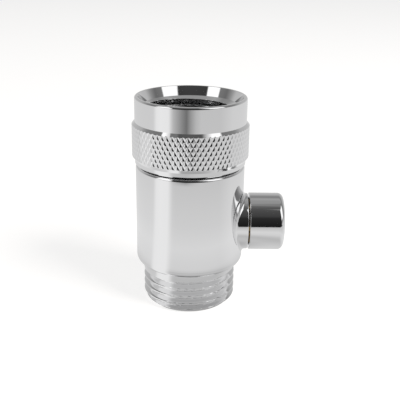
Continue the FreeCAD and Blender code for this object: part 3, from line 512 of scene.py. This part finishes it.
# Union nut
class VALVE_OT_union_nut(bpy.types.Operator):
    """Turns the union nut with its female thread and lays the diamond knurl round it"""
    bl_idname = "valve.union_nut"
    bl_label = "Union nut"

    def execute(self, context):
        nut = context.scene.valve_nut
        thread = context.scene.valve_thread
        neck = context.scene.valve_body.neck_radius + nut.neck_gap
        top = nut.bottom + nut.height
        mouth_floor = top - nut.mouth_depth
        relief_radius = thread.bore_radius + nut.relief
        corners = rounded([
            (neck, nut.lip_top),
            (neck, nut.bottom),
            (nut.radius - nut.lower_chamfer, nut.bottom),
            (nut.radius, nut.bottom + nut.lower_chamfer),
            (nut.radius, top, nut.edge_round),
            (nut.mouth_radius, top),
        ])
        corners[-1:] = rounded([
            (nut.radius - nut.edge_round, top),
            (nut.mouth_radius, top, nut.mouth_round),
            (thread.bore_radius, mouth_floor),
        ], SMALL_ROUND_STEPS)[1:]
        corners += [(thread.bore_radius, up)
                    for up in reversed(climb(nut.thread_bottom, mouth_floor, thread.row))]
        corners += [
            (relief_radius, nut.thread_bottom),
            (relief_radius, nut.lip_top),
            (neck, nut.lip_top),
        ]
        piece = spin_profile(add_profile("chromed_union_nut", corners))
        cut_inlet_thread(piece, thread, nut)
        polish_edges(piece)
        piece = join(piece, self.knurl_band(nut))
        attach(piece, "nut")
        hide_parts("union_nut")
        piece.data.materials.append(chrome_plate("nut_chrome", context))
        return {"FINISHED"}

    def knurl_band(self, nut):
        """A drum of four-sided diamonds, cut back by a chamfer at each end."""
        levels = nut.knurl_half_rows + 2
        peak = nut.knurl_radius + nut.knurl_flat
        valley = peak - nut.knurl_depth
        lowest = nut.knurl_bottom - nut.knurl_row
        heights = [lowest + level * nut.knurl_row for level in range(levels + 1)]
        drum = add_profile("knurl_band", [(valley, up) for up in heights])
        spin_profile(drum, columns=2 * nut.knurl_columns)
        mesh = open_edit(drum)
        mesh.select_mode = {"VERT"}
        for vertex in mesh.verts:
            column = round(math.atan2(vertex.co.y, vertex.co.x) / FULL_TURN * 2 * nut.knurl_columns)
            level = round((vertex.co.z - lowest) / nut.knurl_row)
            vertex.select_set((column + level) % 2 == 0)
        mesh.select_flush_mode()
        bmesh.update_edit_mesh(drum.data)
        grow = peak / valley
        bpy.ops.transform.resize(value=(grow, grow, 1), center_override=(0, 0, 0))
        bpy.ops.mesh.select_all(action="SELECT")
        bpy.ops.mesh.quads_convert_to_tris(quad_method="SHORTEST_DIAGONAL")
        mesh = bmesh.from_edit_mesh(drum.data)
        mesh.select_mode = {"EDGE"}
        for edge in mesh.edges:
            grooved = all(math.hypot(vertex.co.x, vertex.co.y) < valley + TOUCH for vertex in edge.verts)
            edge.select_set(grooved and not edge.is_boundary)
        bmesh.update_edit_mesh(drum.data)
        bpy.ops.mesh.bevel(offset=nut.knurl_round, segments=2, affect="EDGES")
        mesh = bmesh.from_edit_mesh(drum.data)
        for edge in mesh.edges:
            edge.select_set(edge.is_boundary)
        bmesh.update_edit_mesh(drum.data)
        bpy.ops.mesh.edge_face_add()
        weld()
        close_edit()
        inside = nut.radius - nut.knurl_overlap
        foot = nut.knurl_bottom - nut.knurl_lower_chamfer
        knurl_top = nut.knurl_bottom + nut.knurl_half_rows * nut.knurl_row
        head = knurl_top + nut.knurl_upper_chamfer
        sleeve = spin_profile(add_profile("knurl_sleeve", [
            (inside, foot),
            (nut.radius, foot),
            (nut.knurl_radius, nut.knurl_bottom),
            (nut.knurl_radius, knurl_top),
            (nut.radius, head),
            (inside, head),
            (inside, foot),
        ]))
        bpy.ops.object.select_all(action="DESELECT")
        bpy.context.view_layer.objects.active = drum
        drum.select_set(True)
        bpy.ops.object.modifier_add(type="BOOLEAN")
        cut = drum.modifiers[-1]
        cut.operation = "INTERSECT"
        cut.solver = "EXACT"
        cut.object = sleeve
        bpy.ops.object.modifier_apply(modifier=cut.name)
        bpy.data.objects.remove(sleeve)
        bpy.ops.object.shade_smooth_by_angle(angle=math.radians(FACET_DEGREES))
        return drum


# Knob
class VALVE_OT_knob(bpy.types.Operator):
    """Turns the plain push-pull knob with its hollow back"""
    bl_idname = "valve.knob"
    bl_label = "Knob"

    def execute(self, context):
        knob = context.scene.valve_knob
        end = knob.start + knob.length
        corners = rounded([
            (knob.bore_end, 0),
            (knob.bore_end, knob.bore_radius),
            (knob.recess_floor, knob.bore_radius),
            (knob.recess_floor, knob.recess_radius),
            (knob.start + knob.recess_chamfer, knob.recess_radius),
            (knob.start, knob.recess_radius + knob.recess_chamfer),
            (knob.start, knob.radius, knob.inner_round),
            (end, knob.radius, knob.edge_round),
            (end, 0),
        ], FINE_ROUND_STEPS)
        piece = add_profile("chromed_knob", corners)
        spin_profile(piece, axis=(1, 0, 0))
        open_edit(piece)
        bpy.ops.mesh.select_all(action="SELECT")
        bpy.ops.transform.translate(value=(0, 0, context.scene.valve_boss.axis_height))
        close_edit()
        polish_edges(piece)
        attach(piece, "plunger")
        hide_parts("knob")
        piece.data.materials.append(chrome_plate("knob_chrome", context))
        return {"FINISHED"}


# Materials
RIPPLE_HEIGHT = 0.01 * MM


def new_material(name):
    """An empty node material with its shader and output."""
    material = bpy.data.materials.new(name)
    material.use_nodes = True
    return material, material.node_tree.nodes, material.node_tree.links


def add_node(nodes, kind, **inputs):
    """A node with its inputs set by name, such as from_min for From Min."""
    node = nodes.new(kind)
    for name, value in inputs.items():
        node.inputs[name.replace("_", " ").title()].default_value = value
    return node


def reckon(nodes, links, operation, *given):
    """A maths node fed with sockets or plain numbers."""
    node = nodes.new("ShaderNodeMath")
    node.operation = operation
    for socket, value in zip(node.inputs, given):
        if isinstance(value, bpy.types.NodeSocket):
            links.new(value, socket)
        else:
            socket.default_value = value
    return node.outputs[0]


def polish_group():
    """Faint wiping marks and slow ripples of a polished surface, shared by every metal."""
    found = bpy.data.node_groups.get("polish marks")
    if found:
        return found
    group = bpy.data.node_groups.new("polish marks", "ShaderNodeTree")
    for name in ("Polish", "Ripple"):
        group.interface.new_socket(name, in_out="INPUT", socket_type="NodeSocketFloat")
    for name in ("Roughness", "Height"):
        group.interface.new_socket(name, in_out="OUTPUT", socket_type="NodeSocketFloat")
    nodes, links = group.nodes, group.links
    given = nodes.new("NodeGroupInput")
    out = nodes.new("NodeGroupOutput")
    place = nodes.new("ShaderNodeTexCoord")
    haze = add_node(nodes, "ShaderNodeTexNoise", scale=90, detail=5)
    spread = add_node(nodes, "ShaderNodeMapRange", from_min=0.35, from_max=0.7, to_min=0.7, to_max=1.9)
    swell = add_node(nodes, "ShaderNodeTexNoise", scale=160, detail=1)
    links.new(place.outputs["Object"], haze.inputs["Vector"])
    links.new(place.outputs["Object"], swell.inputs["Vector"])
    links.new(haze.outputs["Fac"], spread.inputs["Value"])
    rough = reckon(nodes, links, "MULTIPLY", spread.outputs["Result"], given.outputs["Polish"])
    lift = reckon(nodes, links, "MULTIPLY", swell.outputs["Fac"], given.outputs["Ripple"])
    links.new(rough, out.inputs["Roughness"])
    links.new(lift, out.inputs["Height"])
    return group


def metal(name, tint, polish, ripple):
    """A metal whose polish varies a little over the surface."""
    material, nodes, links = new_material(name)
    shader = nodes["Principled BSDF"]
    shader.inputs["Base Color"].default_value = (*tint, 1)
    shader.inputs["Metallic"].default_value = 1
    marks = nodes.new("ShaderNodeGroup")
    marks.node_tree = polish_group()
    marks.inputs["Polish"].default_value = polish
    marks.inputs["Ripple"].default_value = ripple
    bump = add_node(nodes, "ShaderNodeBump", distance=RIPPLE_HEIGHT)
    links.new(marks.outputs["Roughness"], shader.inputs["Roughness"])
    links.new(marks.outputs["Height"], bump.inputs["Height"])
    links.new(bump.outputs["Normal"], shader.inputs["Normal"])
    return material


def chrome_plate(name, context):
    """Bright polished chrome."""
    finish = context.scene.valve_finish
    return metal(name, finish.chrome, finish.polish, finish.ripple)


def moulded(name, tint, roughness, grain):
    """Rubber or plastic with a fine moulded grain."""
    material, nodes, links = new_material(name)
    shader = nodes["Principled BSDF"]
    shader.inputs["Roughness"].default_value = roughness
    place = nodes.new("ShaderNodeTexCoord")
    speck = add_node(nodes, "ShaderNodeTexNoise", scale=3000)
    cloud = add_node(nodes, "ShaderNodeTexNoise", scale=220)
    shade = add_node(nodes, "ShaderNodeMapRange", to_min=0.85, to_max=1.1)
    bump = add_node(nodes, "ShaderNodeBump", distance=grain)
    paint = nodes.new("ShaderNodeVectorMath")
    paint.operation = "SCALE"
    paint.inputs[0].default_value = tint
    links.new(place.outputs["Object"], speck.inputs["Vector"])
    links.new(place.outputs["Object"], cloud.inputs["Vector"])
    links.new(cloud.outputs["Fac"], shade.inputs["Value"])
    links.new(shade.outputs["Result"], paint.inputs["Scale"])
    links.new(paint.outputs["Vector"], shader.inputs["Base Color"])
    links.new(speck.outputs["Fac"], bump.inputs["Height"])
    links.new(bump.outputs["Normal"], shader.inputs["Normal"])
    return material


class VALVE_OT_inner_pieces(bpy.types.Operator):
    """Gives the pieces inside the valve their brass, steel, rubber and plastic"""
    bl_idname = "valve.inner_pieces"
    bl_label = "Inner pieces"

    def execute(self, context):
        finish = context.scene.valve_finish
        made = {
            "raw_brass": metal("turned_brass", finish.brass, polish=0.16, ripple=0.5),
            "spring_steel": metal("stainless_steel", finish.steel, polish=0.2, ripple=0.3),
            "black_rubber": moulded("black_rubber", finish.rubber, roughness=0.7, grain=0.02 * MM),
            "white_plastic": moulded("white_acetal", finish.white_plastic, roughness=0.4, grain=0.005 * MM),
            "grey_plastic": moulded("grey_acetal", finish.grey_plastic, roughness=0.42, grain=0.005 * MM),
        }
        for part in frame["record"]["subparts"]:
            material = made.get(part["material_slot"])
            if material is None:
                continue
            mesh = frame["nodes"][part["node"]].data
            mesh.materials.clear()
            mesh.materials.append(material)
        return {"FINISHED"}


# Stage
def hide_from_all_but_gloss(item):
    """Leaves a stage piece to reflections alone."""
    item.visible_camera = False
    item.visible_diffuse = False
    item.visible_shadow = False
    item.visible_transmission = False
    item.visible_volume_scatter = False


def curve(nodes, links, value, stops):
    """A level that runs evenly through (value, level) stops."""
    low, high = stops[0][0], stops[-1][0]
    place = add_node(nodes, "ShaderNodeMapRange", from_min=low, from_max=high)
    ramp = nodes.new("ShaderNodeValToRGB")
    elements = ramp.color_ramp.elements
    while len(elements) < len(stops):
        elements.new(0.5)
    for element, (stop, level) in zip(elements, stops):
        element.position = (stop - low) / (high - low)
        element.color = (level, level, level, 1)
    links.new(value, place.inputs["Value"])
    links.new(place.outputs[0], ramp.inputs["Fac"])
    return ramp.outputs["Color"]


def mix(nodes, links, level, goal, share_of_goal):
    """A level taken part of the way to another."""
    gap = reckon(nodes, links, "SUBTRACT", goal, level)
    return reckon(nodes, links, "MULTIPLY_ADD", gap, share_of_goal, level)


def bearing(nodes, links, split):
    """Degrees round the valve from its front, positive towards the knob."""
    ahead = reckon(nodes, links, "MULTIPLY", split.outputs["Y"], -1)
    turn = reckon(nodes, links, "ARCTAN2", split.outputs["X"], ahead)
    return reckon(nodes, links, "DEGREES", turn)


# Levels of the painted studio reflection by elevation in degrees
FRONT_LEVELS = ((0, 0.012), (31, 0.025), (40, 0.055), (54, 0.07), (68, 0.09), (80, 0.15), (90, 0.3))
SIDE_LEVELS = ((0, 0.7), (10, 0.4), (20, 0.11), (30, 0.2), (50, 0.2), (70, 0.18), (80, 0.22), (90, 0.3))
BACK_LEVELS = ((0, 0.66), (10, 0.54), (30, 0.46), (40, 0.28), (50, 0.25), (60, 0.4), (70, 0.33), (90, 0.3))
# The painted softbox reflections: their bearing and half width low down, by how much these grow with each
# degree above the point where they lean over, on the left and on the right, and their height by elevation
BOX_BEARING = 56
BOX_HALF_WIDTH = 18
BOX_LEAN_FROM = 30
BOX_LEAN = (0.6, 0.05)
BOX_SPREAD = (-0.25, 0.5)
BOX_EDGE = ((0.92, 1), (1.08, 0))
LEFT_BOX_HEIGHT = ((0, 0.35), (10, 0.45), (20, 1), (58, 1), (66, 0))
RIGHT_BOX_HEIGHT = ((16, 0), (24, 1), (61, 1), (68, 0))
BOX_LEVEL = 1.2
# Bearings at which the painted studio reflection's sides and back begin, over from the front
SIDE_START = ((40, 0), (48, 1))
BACK_START = ((95, 0), (125, 1))
# The floor as the camera sees it
FLOOR_WIDTH = 4
FLOOR_COLOUR = (0.36, 0.345, 0.33, 1)
FLOOR_GLOW = 0.79
# Levels of the floor as reflections see it, by distance from the axis in metres with painted contact shadow
# near the axis, the painted pool of light on the left and the painted camera shadow in front by bearing, and
# the far edge by depth
PAINTED_FLOOR_SHADE_LEVELS = ((0, 0.3), (0.0125, 0.42), (0.0165, 0.55), (0.02, 0.6), (0.027, 0.54), (0.036, 0.72),
                (0.048, 0.77), (0.064, 0.7), (0.1, 0.63), (0.26, 0.6), (0.4, 0.6))
PAINTED_LIGHT_POOL_BEARINGS = ((-180, 0.3), (-90, 0.25), (-78, 0.3), (-70, 0.9), (-60, 1), (-44, 0.95), (-34, 0.1),
                (-28, 0), (60, 0), (90, 0.3), (180, 0.4))
PAINTED_LIGHT_POOL_LEVEL = 0.92
PAINTED_CAMERA_SHADOW_BEARINGS = ((-42, 0), (-30, 0.35), (-16, 0.8), (-8, 1), (0, 0.6), (10, 0.2), (20, 0))
PAINTED_CAMERA_SHADOW_START = ((0.1, 0), (0.17, 1))
PAINTED_CAMERA_SHADOW_LEVEL = 0.18
FLOOR_END = ((-0.264, 0.03), (-0.244, 1))
# Lamps as name, place, power and size, the point that they face, and the level of the light all round
LAMPS = (
    ("key", (0.5, -0.35, 0.6), 6.5, 0.35),
    ("fill", (-0.6, -0.3, 0.6), 0.5, 0.6),
    ("top", (0, 0.1, 0.9), 1.2, 0.8),
)
LAMP_TARGET = (0, 0, 0.025)
ROUND_LEVELS = ((0, 0.12), (1, 1))
# The camera, fitted to the outlines in the photograph
CAMERA_PLACE = (-0.0005004, -0.145, 0.0770232)
CAMERA_YAW = 0.0193
CAMERA_PITCH = 0.354
CAMERA_ROLL = 0.0162
CAMERA_LENS = 61.266
CAMERA_SENSOR = 36
CAMERA_NEAR = 0.01


class VALVE_OT_stage(bpy.types.Operator):
    """Sets the pale floor, the soft light, the painted studio reflections around and the camera"""
    bl_idname = "valve.stage"
    bl_label = "Stage"

    def execute(self, context):
        self.add_floor()
        self.add_dome()
        self.add_lights(context)
        self.add_camera(context)
        return {"FINISHED"}

    def add_floor(self):
        """A broad pale floor that keeps the valve's shadow, and shows reflections painted light and shade
        instead.
        """
        bpy.ops.object.select_all(action="DESELECT")
        bpy.ops.mesh.primitive_plane_add(size=FLOOR_WIDTH)
        floor = bpy.context.object
        floor.name = "floor"
        material, nodes, links = new_material("pale floor")
        nodes.remove(nodes["Principled BSDF"])
        cloth = add_node(nodes, "ShaderNodeBsdfDiffuse", color=FLOOR_COLOUR)
        white = add_node(nodes, "ShaderNodeEmission", strength=FLOOR_GLOW)
        lit = nodes.new("ShaderNodeAddShader")
        links.new(cloth.outputs[0], lit.inputs[0])
        links.new(white.outputs[0], lit.inputs[1])
        place = nodes.new("ShaderNodeTexCoord")
        split = nodes.new("ShaderNodeSeparateXYZ")
        distance = nodes.new("ShaderNodeVectorMath")
        distance.operation = "LENGTH"
        links.new(place.outputs["Object"], split.inputs[0])
        links.new(place.outputs["Object"], distance.inputs[0])
        away = distance.outputs["Value"]
        turn = bearing(nodes, links, split)
        # Painted contact shadow: the floor's level in reflections drops near the valve's axis
        level = curve(nodes, links, away, PAINTED_FLOOR_SHADE_LEVELS)
        # Painted pool of light on the floor's left, seen only in reflections
        level = mix(nodes, links, level, PAINTED_LIGHT_POOL_LEVEL, curve(nodes, links, turn, PAINTED_LIGHT_POOL_BEARINGS))
        # Painted camera shadow on the floor in front, seen only in reflections
        begun = curve(nodes, links, away, PAINTED_CAMERA_SHADOW_START)
        dark = reckon(nodes, links, "MULTIPLY", begun, curve(nodes, links, turn, PAINTED_CAMERA_SHADOW_BEARINGS))
        level = mix(nodes, links, level, PAINTED_CAMERA_SHADOW_LEVEL, dark)
        level = reckon(nodes, links, "MULTIPLY", level, curve(nodes, links, split.outputs["Y"], FLOOR_END))
        # Glossy rays see the floor as emission alone: painted light and shade in place of the lit floor
        painted_floor_reflection = nodes.new("ShaderNodeEmission")
        links.new(level, painted_floor_reflection.inputs["Strength"])
        rays = nodes.new("ShaderNodeLightPath")
        pick = nodes.new("ShaderNodeMixShader")
        links.new(rays.outputs["Is Glossy Ray"], pick.inputs["Fac"])
        links.new(lit.outputs[0], pick.inputs[1])
        links.new(painted_floor_reflection.outputs[0], pick.inputs[2])
        links.new(pick.outputs[0], nodes["Material Output"].inputs["Surface"])
        material.cycles.emission_sampling = "NONE"
        floor.data.materials.append(material)

    def add_dome(self):
        """A painted reflection of the studio that only reflections see: dark in front, pale at the sides, two
        leaning softboxes.
        """
        bpy.ops.object.select_all(action="DESELECT")
        bpy.ops.mesh.primitive_uv_sphere_add(segments=64, ring_count=32, radius=1)
        dome = bpy.context.object
        dome.name = "painted_reflection_dome"
        material, nodes, links = new_material("painted reflection dome")
        nodes.remove(nodes["Principled BSDF"])
        place = nodes.new("ShaderNodeTexCoord")
        split = nodes.new("ShaderNodeSeparateXYZ")
        links.new(place.outputs["Object"], split.inputs[0])
        rise = reckon(nodes, links, "DEGREES", reckon(nodes, links, "ARCSINE", split.outputs["Z"]))
        turn = bearing(nodes, links, split)
        away = reckon(nodes, links, "ABSOLUTE", turn)
        level = curve(nodes, links, rise, FRONT_LEVELS)
        for levels, start in ((SIDE_LEVELS, SIDE_START), (BACK_LEVELS, BACK_START)):
            layer = curve(nodes, links, rise, levels)
            level = mix(nodes, links, level, layer, curve(nodes, links, away, start))
        # The two softboxes are painted reflections: the dome lights nothing
        on_right = reckon(nodes, links, "GREATER_THAN", turn, 0)
        over = reckon(nodes, links, "MAXIMUM", reckon(nodes, links, "SUBTRACT", rise, BOX_LEAN_FROM), 0)
        lean, spread = (mix(nodes, links, *rates, on_right) for rates in (BOX_LEAN, BOX_SPREAD))
        middle = reckon(nodes, links, "MULTIPLY_ADD", over, lean, BOX_BEARING)
        half = reckon(nodes, links, "MULTIPLY_ADD", over, spread, BOX_HALF_WIDTH)
        across = reckon(nodes, links, "ABSOLUTE", reckon(nodes, links, "SUBTRACT", away, middle))
        wide = curve(nodes, links, reckon(nodes, links, "DIVIDE", across, half), BOX_EDGE)
        left, right = (curve(nodes, links, rise, stops) for stops in (LEFT_BOX_HEIGHT, RIGHT_BOX_HEIGHT))
        box = reckon(nodes, links, "MULTIPLY", wide, mix(nodes, links, left, right, on_right))
        level = mix(nodes, links, level, BOX_LEVEL, box)
        light = nodes.new("ShaderNodeEmission")
        links.new(level, light.inputs["Strength"])
        links.new(light.outputs[0], nodes["Material Output"].inputs["Surface"])
        material.cycles.emission_sampling = "NONE"
        dome.data.materials.append(material)
        hide_from_all_but_gloss(dome)

    def add_lights(self, context):
        """Soft lamps for shade and a white background."""
        for name, place, power, size in LAMPS:
            bpy.ops.object.light_add(type="AREA", location=place)
            lamp = bpy.context.object
            lamp.name = name
            lamp.data.size = size
            lamp.data.energy = power
            lamp.rotation_euler = (Vector(place) - Vector(LAMP_TARGET)).to_track_quat("Z", "Y").to_euler()
            lamp.visible_glossy = False
        world = bpy.data.worlds.new("white studio")
        context.scene.world = world
        world.use_nodes = True
        nodes, links = world.node_tree.nodes, world.node_tree.links
        rays = nodes.new("ShaderNodeLightPath")
        white = reckon(nodes, links, "ADD", rays.outputs["Is Camera Ray"], rays.outputs["Is Glossy Ray"])
        white = reckon(nodes, links, "ADD", white, rays.outputs["Is Transmission Ray"])
        background = nodes["Background"]
        background.inputs["Color"].default_value = (1, 1, 1, 1)
        links.new(curve(nodes, links, white, ROUND_LEVELS), background.inputs["Strength"])

    def add_camera(self, context):
        """The camera, fitted to the photograph's view."""
        bpy.ops.object.camera_add(location=CAMERA_PLACE)
        camera = bpy.context.object
        turn = Matrix.Rotation(-CAMERA_YAW, 3, "Z") @ Matrix.Rotation(math.pi / 2 - CAMERA_PITCH, 3, "X")
        camera.rotation_euler = (turn @ Matrix.Rotation(CAMERA_ROLL, 3, "Z")).to_euler()
        camera.data.lens = CAMERA_LENS
        camera.data.sensor_width = CAMERA_SENSOR
        camera.data.clip_start = CAMERA_NEAR
        context.scene.camera = camera
        context.scene.view_settings.view_transform = "Standard"


class VALVE_PT_panel(bpy.types.Panel):
    """Lists the valve's pieces and the stage"""
    bl_label = "Stop valve"
    bl_idname = "VALVE_PT_panel"
    bl_space_type = "VIEW_3D"
    bl_region_type = "UI"
    bl_category = "Stop valve"

    def draw(self, context):
        for operator in OPERATORS:
            self.layout.operator(operator.bl_idname)
        for name in GROUPS:
            group = getattr(context.scene, name)
            box = self.layout.box()
            for size in group.bl_rna.properties.keys():
                if size not in ("rna_type", "name"):
                    box.prop(group, size)


OPERATORS = (VALVE_OT_body, VALVE_OT_union_nut, VALVE_OT_knob, VALVE_OT_inner_pieces, VALVE_OT_stage)
GROUPS = {
    "valve_thread": ThreadSizes,
    "valve_body": BodySizes,
    "valve_boss": BossSizes,
    "valve_nut": NutSizes,
    "valve_knob": KnobSizes,
    "valve_finish": Finishes,
}


def register():
    for item in (*GROUPS.values(), *OPERATORS, VALVE_PT_panel):
        bpy.utils.register_class(item)
    for name, group in GROUPS.items():
        setattr(bpy.types.Scene, name, bpy.props.PointerProperty(type=group))


def unregister():
    for name in GROUPS:
        delattr(bpy.types.Scene, name)
    for item in reversed((*GROUPS.values(), *OPERATORS, VALVE_PT_panel)):
        bpy.utils.unregister_class(item)


def main():
    """Builds every piece and the stage."""
    register()
    bpy.ops.valve.body()
    bpy.ops.valve.union_nut()
    bpy.ops.valve.knob()
    bpy.ops.valve.inner_pieces()
    bpy.ops.valve.stage()


if __name__ == "__main__":
    main()
